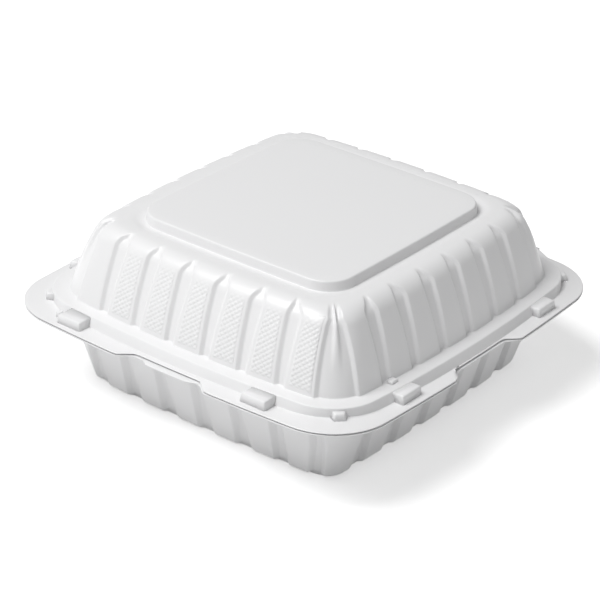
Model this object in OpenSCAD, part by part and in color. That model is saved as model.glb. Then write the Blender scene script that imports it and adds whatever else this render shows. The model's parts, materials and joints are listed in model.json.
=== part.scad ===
// Hinged takeout container: one sheet of white plastic, thermoformed into a fluted tub and a
// fluted domed lid that share a living hinge along the back edge. The lid is drawn closed.
// X runs along the front edge, Y from the front to the hinge, Z up from the tub's underside.

/* [Sheet] */
// Thickness of the plastic sheet
sheet_t = 0.6; // [0.4:0.05:0.9]
// Height of the tub's flange above the table
flange_z = 41.6; // [32:0.2:50]
// Gap between the two flanges when the lid is closed
flange_gap = 0.4; // [0.3:0.05:0.8]

/* [Flange] */
// Half of the flange's width
rim_x = 101.6; // [99:0.2:112]
// Distance from the middle to the front edge, where it bows out most
rim_y = 107.2; // [105:0.2:116]
// How far the back ears stop short of the hinge's edge
ear_inset = 3.7; // [2:0.1:4.5]
// Corner radius of the flange
rim_r = 30.5; // [22:0.5:34]
// How far each side of the flange bows out
rim_bow = 2.1; // [0.5:0.1:4]
// Half of the hinge's length
hinge_half = 57; // [35:0.5:62]
// Length of the slope at each end of the hinge
hinge_slope = 9; // [4:0.5:14]
// Gap from each flange's edge to the line that the lid turns about
hinge_gap = 0.3; // [0.3:0.05:0.6]

/* [Thumb notches] */
// Half of a notch's width at its bottom
notch_half = 19; // [10:0.5:26]
// Length of the slope at each end of a notch
notch_slope = 6; // [3:0.5:10]
// Depth of the notches in the lid's flange
notch_depth = 6.1; // [3:0.1:6.5]
// How much shallower the notches in the tub's flange are
notch_step = 0.9; // [0.4:0.1:2]
// Half of the opening tab's width
tab_half = 11.5; // [6:0.5:16]
// How far the opening tab stands out of the tub's front notch
tab_out = 2.3; // [1:0.1:3]
// Place of the opening tab along the front
tab_x = 1.5; // [-4:0.5:4]

/* [Locking bead] */
// Half of the bead's width at its foot
bead_x = 94.9; // [94:0.1:96.5]
// Half of the bead's depth at its foot
bead_y = 98.6; // [97.5:0.1:99.5]
// Corner radius of the bead's foot
bead_r = 32.5; // [26:0.5:34]
// Height of the bead above the lid's flange
bead_h = 4.4; // [3:0.1:6]
// How far the bead's outer side leans in
bead_lean = 2.2; // [1:0.1:3]
// Corner radius of the bead's top edge
bead_top_r = 25; // [21:0.5:30]
// How far the sides of the bead bow out
bead_bow = 3.2; // [1:0.1:4.5]
// Gap between the lid's bead and the tub's bead
bead_gap = 0.5; // [0.35:0.05:0.7]

/* [Dome] */
// Half of the dome's width at its foot
dome_x = 86.5; // [85:0.1:87.5]
// Half of the dome's depth at its foot
dome_y = 90.2; // [88:0.1:91]
// Corner radius of the dome's foot
dome_r = 18.8; // [15:0.2:22]
// How far the sides of the dome's foot bow out
dome_bow = 3.5; // [1:0.1:4.5]
// Height of the shoulder's crest above the lid's flange
crest_h = 38.8; // [32:0.2:48]
// How far the crest lies in from the dome's foot
crest_inset = 19.2; // [17:0.2:21]
// Corner radius at the crest
crest_r = 16; // [12:0.5:20]
// How far the sides bow out at the crest
crest_bow = 1.8; // [0.6:0.1:3]
// Radius of the rounded shoulder
shoulder_r = 10; // [6:0.5:12]
// Draft angle where the wall meets the shoulder
wall_draft = 19; // [14:0.5:24]
// How far the wall swells between foot and shoulder
wall_swell = 0.8; // [0:0.1:1.5]

/* [Top panel] */
// Half of the raised panel's width
panel_x = 56.8; // [50:0.2:60]
// Half of the raised panel's depth
panel_y = 59.5; // [53:0.2:63]
// Corner radius of the raised panel
panel_r = 14; // [10:0.5:18]
// How far the sides of the panel bow out
panel_bow = 0.4; // [0.1:0.1:1]
// How far the raised panel stands above the shoulder's crest
panel_rise = 3.5; // [2.2:0.1:9]
// How far the panel's side leans out to its foot
panel_lean = 0.8; // [0.3:0.1:1.6]
// How far the gutter round the panel lies below the crest
gutter_drop = 1.3; // [0.5:0.1:2.4]
// Width of the level crest outside the gutter
crest_w = 4.2; // [2:0.1:6]

/* [Dome flutes] */
// Number of grooves on each side of the dome
dome_grooves = 6; // [2:1:6]
// Distance between grooves at the foot
groove_pitch = 20.2; // [17:0.1:20.6]
// Distance between grooves at the shoulder
groove_pitch_top = 19.5; // [16:0.1:19.8]
// Width of a groove at the foot
groove_w = 5.8; // [4.5:0.1:8]
// Width of a groove at the shoulder
groove_w_top = 8.9; // [5:0.1:10]
// Depth of a groove
groove_depth = 1.5; // [0.6:0.1:2.2]
// Width of each sloped side of a groove
groove_side = 1.6; // [0.8:0.1:2]
// Place of the front and back flutes along X
front_shift = 1.2; // [-3:0.1:3]
// Place of the left and right flutes along Y
side_shift = -4.6; // [-5:0.1:5]

/* [Lugs] */
// Length of a lug
lug_len = 14; // [8:0.5:20]
// Distance of each lug from the middle of its pair
lug_place = 53; // [40:0.5:58]
// Place of the front pair along X
lug_shift = -4.2; // [-4.4:0.1:4.4]
// How far the front lugs stand out from the bead's foot
lug_out_front = 4.4; // [2:0.1:6]
// How far the side lugs stand out from the bead's foot
lug_out_side = 2.1; // [1:0.1:4]
// Height of the lugs above the lid's flange
lug_h = 4.1; // [2.5:0.1:4.2]
// Draft of the lugs
lug_draft = 0.5; // [0.2:0.1:0.9]
// Length of the stub outside each corner of the bead
stub_len = 8; // [5:0.5:11]
// Height of the stubs
stub_h = 3.2; // [2:0.1:4]
// How far the stubs stand out from the bead's foot
stub_out = 3.2; // [1.5:0.1:4]
// How much narrower a stub is at its outer end, on each side
stub_taper = 1.4; // [0:0.1:2]
// How far lugs and stubs run into the bead, past the lean of its side
lug_bite = 1.4; // [1:0.1:2]
// Place along the right side of the nib at the dome's foot
nib_place = -52.7; // [-60:0.1:-40]
// Length of the nib
nib_len = 5; // [3:0.1:8]
// How far the nib stands out from the dome's foot
nib_out = 3; // [2:0.1:4]
// Height of the nib above the bead
nib_h = 1.3; // [0.8:0.1:2]
// Diameter of the peg beside the left lug of the front pair
peg_d = 3.6; // [2.4:0.1:5]
// Height of the peg above the flange
peg_h = 2.6; // [1.5:0.1:4]
// Gap between the peg and that lug
peg_gap = 1.2; // [0.8:0.1:3]

/* [Tub] */
// Half of the tub's width at its foot
tub_x = 73; // [68:0.2:77]
// Half of the tub's depth at its foot
tub_y = 77.2; // [72:0.2:82]
// Corner radius of the tub's foot
tub_r = 11.5; // [9:0.5:16]
// How far the sides bow out at the tub's foot
tub_bow = 1.8; // [0.5:0.1:3]
// Half of the tub's width below the flange
tub_top_x = 84.8; // [83:0.1:86]
// Half of the tub's depth below the flange
tub_top_y = 90; // [88:0.1:91]
// Corner radius of the tub below the flange
tub_top_r = 16; // [13:0.5:20]
// Radius of the edge round the tub's underside
tub_edge = 3; // [1.2:0.1:4]

/* [Tub flutes] */
// Number of grooves on the tub's front and back
tub_front_grooves = 7; // [2:1:7]
// Number of grooves on the tub's left and right sides
tub_side_grooves = 6; // [2:1:6]
// Distance between grooves on the front and back
tub_pitch = 21.6; // [17:0.1:21.8]
// Distance between grooves on the left and right sides
tub_side_pitch = 21.9; // [17:0.1:23]
// Width of a groove below the flange
tub_groove_w_top = 5.8; // [5.6:0.1:9]
// Width of a groove at the foot
tub_groove_w = 10; // [6:0.1:10.4]
// Depth of a groove below the flange
tub_groove_top = 3.4; // [1:0.1:3.8]
// Depth of a groove at the foot
tub_groove_foot = 2; // [0.8:0.1:3]
// Width of each sloped side of a groove below the flange
tub_groove_side_top = 2.6; // [1:0.1:2.7]
// Width of each sloped side of a groove at the foot
tub_groove_side = 2.2; // [1:0.1:2.6]
// Place of the front and back grooves along X
tub_front_shift = 3.2; // [-3.5:0.1:3.5]
// Place of the left and right grooves along Y
tub_side_shift = -1.7; // [-3:0.1:3]

/* [Hidden] */
plastic = [0.93, 0.93, 0.92];
lid_z = flange_z + flange_gap + sheet_t;
rim_centre_y = -ear_inset / 2;
rim_half_y = rim_y - ear_inset / 2;
rim_front_r = bow_radius(rim_x, rim_r, rim_bow);
notch_end = notch_half + notch_slope;
hinge_edge = rim_y - rim_front_r + sqrt(rim_front_r * rim_front_r - notch_end * notch_end);
strip_w = 1.5;
corner_steps = [-0.78, -0.5, -0.2, 0.2, 0.5, 0.78];
ridge_steps = [0, 0, 1, 1, 0, 0];
tub_corner_steps = [-0.72, -0.24, 0.24, 0.72];

function degrees(a) = a * 180 / PI;
function mix(a, b, f) = a + (b - a) * f;
function bow_radius(half, r, bow) = (pow(half - r, 2) + bow * bow) / (2 * bow);

// A ring is a rounded rectangle whose sides bow out: half width, half depth, corner radius and
// bow. Its side arcs and corner arcs are tangent, so the corner's centre is where two circles
// meet. ring_data works out [front radius, side radius, corner radius, front arc's centre y,
// side arc's centre x, corner centre, front arc's angle, side arc's angle].
function ring_data(hx, hy, r, bow) =
    let (ry = bow_radius(hx, r, bow))
    let (rx = bow_radius(hy, r, bow))
    let (a = [0, ry - hy])
    let (b = [hx - rx, 0])
    let (d = norm(b - a))
    let (along = (pow(ry - r, 2) - pow(rx - r, 2) + d * d) / (2 * d))
    let (u = (b - a) / d)
    let (c = a + along * u - sqrt(pow(ry - r, 2) - along * along) * [u[1], -u[0]])
    [ry, rx, r, a[1], b[0], c, atan2(c[0], a[1] - c[1]), atan2(-c[1], c[0] - b[0])];

function front_len(g) = g[0] * g[6] * PI / 180;
function side_len(g) = g[1] * g[7] * PI / 180;
function corner_len(g) = g[2] * (90 - g[6] - g[7]) * PI / 180;
function quarter_len(g) = front_len(g) + corner_len(g) + side_len(g);

// Point and outward normal a length s along a ring's first quarter, from the middle of the
// front to the middle of the right side
function on_quarter(g, s) =
    s < front_len(g) ? on_arc([0, g[3]], g[0], degrees(s / g[0]))
    : s < front_len(g) + corner_len(g) ? on_arc(g[5], g[2], g[6] + degrees((s - front_len(g)) / g[2]))
    : on_arc([g[4], 0], g[1], 90 - degrees((quarter_len(g) - s) / g[1]));
function on_arc(c, r, a) = [c + r * [sin(a), -cos(a)], [sin(a), -cos(a)]];

// The same anywhere round the ring, by mirroring the first quarter
function on_ring(g, p) =
    let (q = quarter_len(g))
    let (turns = floor(p / q))
    let (k = (turns + 4) % 4)
    let (s = p - turns * q)
    let (m = on_quarter(g, k % 2 == 0 ? s : q - s))
    let (flip = [k < 2 ? 1 : -1, k == 0 || k == 3 ? 1 : -1])
    [[m[0][0] * flip[0], m[0][1] * flip[1]], [m[1][0] * flip[0], m[1][1] * flip[1]]];

// Flutes of one side as [length from the side's middle, share of the groove's depth]
function groove_stops(count, pitch, w, slope, shift) = [
    for (i = [0 : count - 1], edge = [-1, 1], inner = edge < 0 ? [0, 1] : [1, 0])
        [shift + pitch * (i - (count - 1) / 2) + edge * (w / 2 - inner * slope), inner]
];
// The end panels of a side are as wide as the others; beyond them the wall steps back
function fluted_side(count, pitch, w, slope, shift) =
    let (reach = ((count + 1) * pitch - w) / 2)
    concat([[shift - reach - slope, 1], [shift - reach, 0]],
        groove_stops(count, pitch, w, slope, shift),
        [[shift + reach, 0], [shift + reach + slope, 1]]);

// Moves a side's stops to their place round the ring, side 0 to 3 being front, right, back, left
function placed(stops, side, q) = [for (s = stops) [side * q + s[0], s[1]]];
// Stops across the corner between two sides, with a ridge that stands up by the share given
function corner_stops(from, to, steps, shares, fill) = [
    for (i = [0 : len(steps) - 1])
        [mix(from, to, (1 + steps[i]) / 2), fill - fill * shares[i]]
];
function last(v) = v[len(v) - 1];
// On a ring that is too short for a side's stops, draws in its ends until they stop short of the
// corner's middle
end_gap = 1.2;
squeezed_from = 0.6;
function fitted(stops, middle) =
    let (room = middle - end_gap)
    let (from = squeezed_from * room)
    [
        for (s = stops)
            let (reach = s[0] < 0 ? -stops[0][0] : last(stops)[0])
            let (out = abs(s[0]))
            let (drawn = from + (out - from) * (room - from) / (reach - from))
            [reach > room && out > from ? sign(s[0]) * drawn : s[0], s[1]]
    ];
function whole_ring(sides, g, steps, shares, fill) =
    let (q = quarter_len(g))
    let (front_middle = front_len(g) + corner_len(g) / 2)
    let (fits = [for (k = [0 : 3]) fitted(sides[k], k % 2 == 0 ? front_middle : q - front_middle)])
    [
        for (k = [0 : 3])
            let (here = placed(fits[k], k, q))
            let (next = placed(fits[(k + 1) % 4], k + 1, q))
            each concat(here, corner_stops(last(here)[0], next[0][0], steps, shares, fill))
    ];

// A level is [half width, half depth, corner radius, bow, height, share of the groove's depth,
// groove position from 0 at the foot to 1 at the top, share of the corner ridge, and the angle
// above level at which the surface faces, along which a groove is sunk]
function level_normal(levels, i) =
    let (a = level_step(levels, max(i - 1, 0)))
    let (b = level_step(levels, min(i, len(levels) - 2)))
    let (m = [a[1] + b[1], a[0] + b[0]])
    let (n = m / norm(m))
    [n, 1 / (n * [a[1], a[0]])];
// Unit step from one level to the next as [inward, up]
function level_step(levels, i) =
    let (v = [levels[i][1] - levels[i + 1][1], levels[i + 1][4] - levels[i][4]])
    v / norm(v);

// Points of one level, moved in by groove depth and by thickness t along the wall's normal
function level_ring(levels, i, stops, depth, t) =
    let (l = levels[i])
    let (g = ring_data(l[0], l[1], l[2], l[3]))
    let (n = level_normal(levels, i))
    [
        for (s = stops(l, g))
            let (m = on_ring(g, s[0]))
            let (move = s[1] * depth(l) * l[5] * [cos(l[8]), sin(l[8])] + t * n[1] * n[0])
            [m[0][0] - m[1][0] * move[0], m[0][1] - m[1][1] * move[0], l[4] - move[1]]
    ];

// Closed skin through rings that all have the same number of points, with a flat cap at each end
module skin(rings) {
    n = len(rings[0]);
    points = [for (r = rings, p = r) p];
    sides = [
        for (i = [0 : len(rings) - 2], j = [0 : n - 1])
            let (k = (j + 1) % n)
            each [
                [i * n + j, (i + 1) * n + k, i * n + k],
                [i * n + j, (i + 1) * n + j, (i + 1) * n + k]
            ]
    ];
    first = [for (j = [0 : n - 1]) j];
    final = [for (j = [n - 1 : -1 : 0]) (len(rings) - 1) * n + j];
    polyhedron(points = points, faces = concat([first, final], sides));
}

// Flat outline of a ring, with more points on its corners than on its sides
module ring_shape(hx, hy, r, bow) {
    g = ring_data(hx, hy, r, bow);
    parts = [[0, front_len(g), 2], [front_len(g), corner_len(g), 8],
        [front_len(g) + corner_len(g), side_len(g), 2]];
    quarter = [for (part = parts, i = [0 : part[2] - 1]) part[0] + part[1] * i / part[2]];
    q = quarter_len(g);
    polygon([
        for (k = [0 : 3], i = [0 : len(quarter) - 1])
            let (s = quarter[i])
            on_ring(g, k % 2 == 0 ? k * q + s : (k + 1) * q - quarter[len(quarter) - 1 - i])[0]
    ]);
}

// Slope-ended strip along X, from half its width at y = 0 to that plus the slope at y = h
module notch_shape(half, slope, h) {
    polygon([[-half, 0], [half, 0], [half + slope, h], [-half - slope, h]]);
}

module front_and_sides() {
    translate([0, -rim_y]) children();
    translate([rim_x, 0]) rotate(90) children();
    translate([-rim_x, 0]) rotate(-90) children();
}

// The flange's outline, the same for both halves: bowed sides, back ears and the hinge's edge
module rim_shape() {
    translate([0, rim_centre_y]) ring_shape(rim_x, rim_half_y, rim_r, rim_bow);
    translate([0, hinge_edge]) rotate(180)
        notch_shape(hinge_half, hinge_slope, ear_inset + rim_bow);
}

module notches(depth) {
    slope = notch_slope * depth / notch_depth;
    front_and_sides()
        translate([0, depth]) mirror([0, 1]) notch_shape(notch_half, 2 * slope, 2 * depth);
}

// Flat flange from the rim to the strip that the formed part ends in
module flange_plate(z, inner_x, inner_y, r, bow, depth) {
    translate([0, 0, z])
        linear_extrude(sheet_t)
            difference() {
                rim_shape();
                notches(depth);
                ring_shape(inner_x + strip_w / 2, inner_y + strip_w / 2, r + strip_w / 2, bow);
            }
}

// Dome profile from the flange in to the raised panel
wall_top = crest_h - shoulder_r + shoulder_r * sin(wall_draft);
wall_in = crest_inset - shoulder_r * cos(wall_draft);
function dome_level(inset, z, groove, ridge, facing) =
    let (f = min(1, inset / crest_inset))
    [dome_x - inset, dome_y - inset, mix(dome_r, crest_r, f), mix(dome_bow, crest_bow, f),
        lid_z + z, groove, min(1, (z - bead_h) / (crest_h - bead_h)), ridge, facing];
function wall_level(f, ridge) =
    dome_level(wall_in * f - wall_swell * 4 * f * (1 - f), mix(bead_h, wall_top, f), 1, ridge,
        wall_draft * f);
function shoulder_level(f, groove) =
    let (a = mix(wall_draft, 90, f))
    dome_level(crest_inset - shoulder_r * cos(a), crest_h - shoulder_r + shoulder_r * sin(a),
        groove, 1, a);
function bead_level(out, r, z) =
    [bead_x + out, bead_y + out, r, bead_bow, lid_z + z, 0, 0, 0, 0];
function panel_level(out, z) =
    [panel_x + out, panel_y + out, panel_r + out, panel_bow, lid_z + z, 0, 1, 0, 0];
lid_levels = [
    bead_level(strip_w, bead_r + strip_w, 0),
    bead_level(0, bead_r, 0),
    bead_level(-bead_lean, bead_top_r, bead_h),
    wall_level(0, 0),
    wall_level(0.5, 0.2),
    wall_level(1, 0.9),
    shoulder_level(1 / 3, 1),
    shoulder_level(2 / 3, 1),
    dome_level(crest_inset, crest_h, 0, 0, 90),
    dome_level(crest_inset + crest_w, crest_h, 0, 0, 90),
    panel_level(panel_lean, crest_h - gutter_drop),
    panel_level(0, crest_h + panel_rise)
];
// The sheet's lower side leaves out the levels that it can do without
lid_inner = [11, 10, 8, 7, 6, 5, 3, 2, 1, 0];

lid_depth = function(l) groove_depth;
lid_stops = function(l, g)
    let (pitch = mix(groove_pitch, groove_pitch_top, l[6]))
    let (w = mix(groove_w, groove_w_top, l[6]))
    let (side = function(shift) fluted_side(dome_grooves, pitch, w, groove_side, shift))
    whole_ring([side(front_shift), side(side_shift), side(-front_shift), side(-side_shift)],
        g, corner_steps, ridge_steps * l[7], 1);

// Block of width w that stands on y0 to y1, leans in by its draft, narrows by the taper towards
// y0 and has clipped corners there
block_clip = 0.9;
block_skin = 0.01;
module block(w, y0, y1, h, taper) {
    hull()
        for (top = [0, 1])
            translate([0, 0, top * (h - block_skin)])
                linear_extrude(block_skin)
                    block_outline(w / 2 - lug_draft * top, y0 + lug_draft * top, y1, taper);
}
module block_outline(x, y0, y1, taper) {
    polygon([[taper + block_clip - x, y0], [x - taper - block_clip, y0],
        [x - taper, y0 + block_clip], [x, y1], [-x, y1], [taper - x, y0 + block_clip]]);
}

// How far lugs and stubs run into the bead, past the lean of its outer side. They are hollow, and
// the hollow of thickness t inside each runs on into the hollow of the bead.
lug_root = bead_lean + lug_bite;

// Places for the lugs, each with -Y pointing out of its side and y = 0 at the bead's foot
module lug_places() {
    for (s = [-1, 1])
        translate([lug_shift + s * lug_place, -bead_y, lid_z]) children();
}
module side_lug_places() {
    for (side = [-1, 1], s = [-1, 1])
        translate([side * bead_x, s * lug_place, lid_z]) rotate(side * 90) children();
}
module lug(out, t) {
    block(lug_len - 2 * t, t - out, lug_root + 3 * t, lug_h, 0);
}
module stub(t) {
    block(stub_len - 2 * t, t - stub_out, lug_root + 3 * t, stub_h, stub_taper);
}
// The stubs stand on the diagonal, against the bead's corners
module stub_places() {
    g = ring_data(bead_x, bead_y, bead_r, bead_bow);
    for (sx = [-1, 1], sy = [-1, 1])
        translate([sx * (g[5][0] + g[2] * sqrt(0.5)), sy * (g[2] * sqrt(0.5) - g[5][1]), lid_z])
            rotate(atan2(sy, sx) + 90) children();
}
// Solid that fills the bead up to the middle of its sheet, so that lugs end in the bead's wall
module bead_core() {
    skin([for (i = [1, 2]) level_ring(lid_levels, i, lid_stops, lid_depth, sheet_t / 2)]);
}
module lug_set(t) {
    lug_places() lug(lug_out_front, t);
    side_lug_places() lug(lug_out_side, t);
    stub_places() stub(t);
}

// Distance from a side's middle line to its bowed edge, at a place along it
function bowed(half, other, r, bow, place) =
    let (big = bow_radius(other, r, bow))
    half - big + sqrt(big * big - place * place);
// Nib on the bead's top, against the foot of the dome's right side
module nib() {
    foot = bowed(dome_x, dome_y, dome_r, dome_bow, nib_place);
    translate([foot, nib_place, lid_z + bead_h - sheet_t / 2])
        rotate(90)
            block(nib_len, -nib_out, sheet_t, nib_h + sheet_t / 2, 0);
}
// Peg on the flange, outside the left lug of the front pair
module peg() {
    place = lug_shift - lug_place - lug_len / 2 - peg_gap - peg_d / 2;
    foot = bowed(bead_y, bead_x, bead_r, bead_bow, lug_place + lug_len / 2);
    translate([place, -foot - peg_d / 2, lid_z - sheet_t / 2])
        cylinder(d1 = peg_d, d2 = peg_d - lug_draft, h = peg_h + sheet_t / 2, $fn = 10);
}

module lid_shell() {
    skin(concat(
        [for (i = lid_inner) level_ring(lid_levels, i, lid_stops, lid_depth, sheet_t)],
        [for (i = [0 : len(lid_levels) - 1]) level_ring(lid_levels, i, lid_stops, lid_depth, 0)]
    ));
}

module lid() {
    color(plastic)
        difference() {
            union() {
                lid_shell();
                flange_plate(lid_z - sheet_t, bead_x, bead_y, bead_r, bead_bow, notch_depth);
                difference() {
                    lug_set(0);
                    bead_core();
                }
                nib();
                peg();
            }
            translate([0, 0, -sheet_t]) lug_set(sheet_t);
        }
}

// Tub profile from the underside out to the flange, drawn on the sheet's lower side
bead_tilt = bead_lean / bead_h;
bead_nest = (2 * sheet_t + bead_gap) * sqrt(1 + bead_tilt * bead_tilt);
tub_bead_z = bead_h - 2 * sheet_t - bead_gap;
function tub_bead_level(out, r, z) =
    let (in = bead_tilt * (z - lid_z) + bead_nest - out)
    [bead_x - in, bead_y - in, r - in, bead_bow, z, 0, 1, 0, 0];
function tub_level(z, in, groove, facing) =
    let (f = z / tub_under)
    [mix(tub_x, tub_top_x, f) - in, mix(tub_y, tub_top_y, f) - in, mix(tub_r, tub_top_r, f) - in,
        mix(tub_bow, bead_bow, f), z, groove, f, 0, facing];
tub_under = flange_z - sheet_t;
edge_in = tub_edge * (1 - sqrt(0.5));
base_levels = [
    tub_level(0, tub_edge, 0, -90),
    tub_level(edge_in, edge_in, 1, -45),
    tub_level(tub_edge, 0, 1, 0),
    tub_level(tub_under, 0, 1, 0),
    tub_level(lid_z + tub_bead_z, 0, 0, 0),
    tub_bead_level(0, bead_top_r + bead_lean, lid_z + tub_bead_z),
    tub_bead_level(0, bead_r, tub_under),
    tub_bead_level(strip_w, bead_r, tub_under)
];

base_depth = function(l) mix(tub_groove_foot, tub_groove_top, l[6]);
base_stops = function(l, g)
    let (w = mix(tub_groove_w, tub_groove_w_top, min(1, l[6])))
    let (slope = mix(tub_groove_side, tub_groove_side_top, min(1, l[6])))
    let (front = function(shift)
        groove_stops(tub_front_grooves, tub_pitch, w, slope, shift))
    let (side = function(shift)
        groove_stops(tub_side_grooves, tub_side_pitch, w, slope, shift))
    whole_ring([front(tub_front_shift), side(tub_side_shift), front(-tub_front_shift),
        side(-tub_side_shift)], g, tub_corner_steps, 0 * tub_corner_steps, 0);

module base_shell() {
    count = len(base_levels);
    skin(concat(
        [for (i = [0 : count - 1]) level_ring(base_levels, i, base_stops, base_depth, 0)],
        [for (i = [count - 1 : -1 : 0])
            if (i != 1) level_ring(base_levels, i, base_stops, base_depth, sheet_t)]
    ));
}

module tab_plate() {
    translate([tab_x, notch_depth - notch_step - rim_y - tab_out, flange_z - sheet_t])
        linear_extrude(sheet_t)
            notch_shape(tab_half, 1.4 * tab_out, 2 * tab_out);
}

module base() {
    strip = base_levels[len(base_levels) - 2];
    color(plastic)
        union() {
            base_shell();
            flange_plate(tub_under, strip[0], strip[1], strip[2], bead_bow, notch_depth - notch_step);
            tab_plate();
        }
}

base();
lid();
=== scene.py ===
# %% [markdown]
# # A hinged takeout container
# The real object is one sheet of white plastic, warmed and drawn over a mould: a fluted tub, a
# fluted domed lid and the living hinge between them. The frame holds both halves at their real
# size and place. This lesson gives them the fine shape and finish of a thermoformed sheet.

# %% Start from the frame
import json
import math
import bpy
import bmesh
from mathutils import Matrix, Vector


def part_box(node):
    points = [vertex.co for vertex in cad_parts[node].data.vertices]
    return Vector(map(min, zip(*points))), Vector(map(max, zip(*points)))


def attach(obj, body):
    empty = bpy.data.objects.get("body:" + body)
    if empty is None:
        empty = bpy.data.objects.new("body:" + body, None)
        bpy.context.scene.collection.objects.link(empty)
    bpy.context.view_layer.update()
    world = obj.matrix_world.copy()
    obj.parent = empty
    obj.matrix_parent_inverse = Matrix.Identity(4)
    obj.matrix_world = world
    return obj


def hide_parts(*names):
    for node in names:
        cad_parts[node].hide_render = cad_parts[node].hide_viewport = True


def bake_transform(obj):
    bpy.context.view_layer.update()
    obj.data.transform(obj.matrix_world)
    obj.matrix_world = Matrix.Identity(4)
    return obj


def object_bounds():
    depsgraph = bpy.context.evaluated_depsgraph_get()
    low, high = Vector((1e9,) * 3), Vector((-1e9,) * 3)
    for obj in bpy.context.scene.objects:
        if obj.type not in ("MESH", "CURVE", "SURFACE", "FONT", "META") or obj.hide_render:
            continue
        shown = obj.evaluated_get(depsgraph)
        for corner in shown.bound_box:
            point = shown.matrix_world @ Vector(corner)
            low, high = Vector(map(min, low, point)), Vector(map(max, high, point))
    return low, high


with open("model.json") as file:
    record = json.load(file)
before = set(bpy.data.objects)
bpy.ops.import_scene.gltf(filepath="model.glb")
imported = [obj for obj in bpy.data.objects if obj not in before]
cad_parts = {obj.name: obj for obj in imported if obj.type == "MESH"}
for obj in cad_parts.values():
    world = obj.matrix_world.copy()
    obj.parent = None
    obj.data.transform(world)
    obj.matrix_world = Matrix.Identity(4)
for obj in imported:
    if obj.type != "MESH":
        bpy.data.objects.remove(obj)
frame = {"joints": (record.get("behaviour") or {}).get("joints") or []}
cad_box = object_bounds()
MM = 0.001
low, high = cad_box
print("CAD box in mm:", [round(c / MM, 1) for c in low], [round(c / MM, 1) for c in high])

# %% [markdown]
# ## Sizes
# Every size is in millimetres, as a maker would measure it. The heights come from the frame: the
# tub's flange, the lid's flange and the panel. A value is written once and used everywhere.

# %% Heights from the frame
base_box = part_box("base")
lid_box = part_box("lid")
hinge = frame["joints"][0]
hinge_y, hinge_z = hinge["pos_m"][1] / MM, hinge["pos_m"][2] / MM
SHEET = 0.6
LID_UNDER = lid_box[0].z / MM
LID_Z = LID_UNDER + SHEET
TUB_UNDER = LID_UNDER - 2 * (LID_UNDER - hinge_z) - SHEET
PANEL_Z = lid_box[1].z / MM
HINGE_EDGE = lid_box[1].y / MM
print("tub's bead top", round(base_box[1].z / MM, 2), "tub flange", round(TUB_UNDER + SHEET, 2),
      "lid flange", round(LID_Z, 2), "panel", round(PANEL_Z, 2))

# %% [markdown]
# ## The outline of a ring
# Seen from above, every level of the container is a rounded rectangle whose sides bow out a
# little. Long arcs for the sides and short arcs for the corners meet without a kink. One function
# finds the arcs, and another gives a point and the outward direction at any length round them.

# %% Rings
BEAD_X, BEAD_Y, BEAD_CORNER, BEAD_BOW = 94.9, 98.6, 32.5, 3.2


def bow_radius(half, corner, bow):
    """Radius of a side that bows out by the given height between its two corners."""
    return ((half - corner) ** 2 + bow ** 2) / (2 * bow)


def ring(half_x, half_y, corner, bow):
    """The arcs of the quarter from the front's middle to the right side's middle."""
    front_r, side_r = bow_radius(half_x, corner, bow), bow_radius(half_y, corner, bow)
    a, b = Vector((0, front_r - half_y)), Vector((half_x - side_r, 0))
    d = (b - a).length
    along = ((front_r - corner) ** 2 - (side_r - corner) ** 2 + d * d) / (2 * d)
    u = (b - a) / d
    c = a + along * u - math.sqrt((front_r - corner) ** 2 - along ** 2) * Vector((u.y, -u.x))
    front_turn = math.atan2(c.x, a.y - c.y)
    side_turn = math.atan2(-c.y, c.x - b.x)
    corner_turn = math.pi / 2 - front_turn - side_turn
    lengths = (front_r * front_turn, corner * corner_turn, side_r * side_turn)
    return {"front": (a, front_r), "corner": (c, corner), "side": (b, side_r), "turn": front_turn,
            "lengths": lengths, "quarter": sum(lengths)}


def on_arc(centre, radius, turn):
    out = Vector((math.sin(turn), -math.cos(turn)))
    return centre + radius * out, out


def on_quarter(g, s):
    front, corner, side = g["lengths"]
    if s < front:
        return on_arc(*g["front"], s / g["front"][1])
    if s < front + corner:
        return on_arc(*g["corner"], g["turn"] + (s - front) / g["corner"][1])
    return on_arc(*g["side"], math.pi / 2 - (g["quarter"] - s) / g["side"][1])


def on_ring(g, p):
    """The point at a length round the ring from the front's middle, and the way out there."""
    turns = math.floor(p / g["quarter"])
    k, s = turns % 4, p - turns * g["quarter"]
    point, out = on_quarter(g, s if k % 2 == 0 else g["quarter"] - s)
    flip = Vector((1 if k < 2 else -1, 1 if k in (0, 3) else -1))
    return point * flip, out * flip


bead_foot = ring(BEAD_X, BEAD_Y, BEAD_CORNER, BEAD_BOW)
print("a quarter of the bead's foot is", round(bead_foot["quarter"], 1), "mm long")

# %% [markdown]
# ## Flutes
# The grooves stiffen the thin sheet. Their sides slope, so the part leaves the mould, and their
# edges are rounded because a warm sheet can't follow a sharp corner. `eased` is a straight ramp
# with rounded ends. The columns of the mesh crowd together at each edge, where the surface turns.

# %% Columns along a fluted side
END_GAP, SQUEEZED_FROM = 1.2, 0.6
EDGE_ROUND, ROUND_ROOM, ROUND_SLOPE = 0.45, 0.8, 2.2
PANEL_COLUMNS = 4


def eased(u, slope, rounding):
    """A ramp from 0 to 1 over the slope, with both of its ends rounded."""
    def area(x):
        return 0 if x < 0 else x * x / (2 * slope) if x < slope else x - slope / 2
    return (area(u + rounding) - area(u - rounding)) / (2 * rounding)


def wall_columns(edge, into, slope, room):
    """Columns over one sloped side of a groove, with room for it up to the groove's middle."""
    rounding = min(EDGE_ROUND, ROUND_ROOM * (room - slope), slope / ROUND_SLOPE)
    bends = [rounding * f for f in (-1, -0.5, 0, 0.5, 1)]
    offsets = bends + [slope / 2] + [slope + u for u in bends]
    found = [(edge + into * u, eased(u, slope, rounding)) for u in offsets]
    return found if into > 0 else found[::-1]


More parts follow.
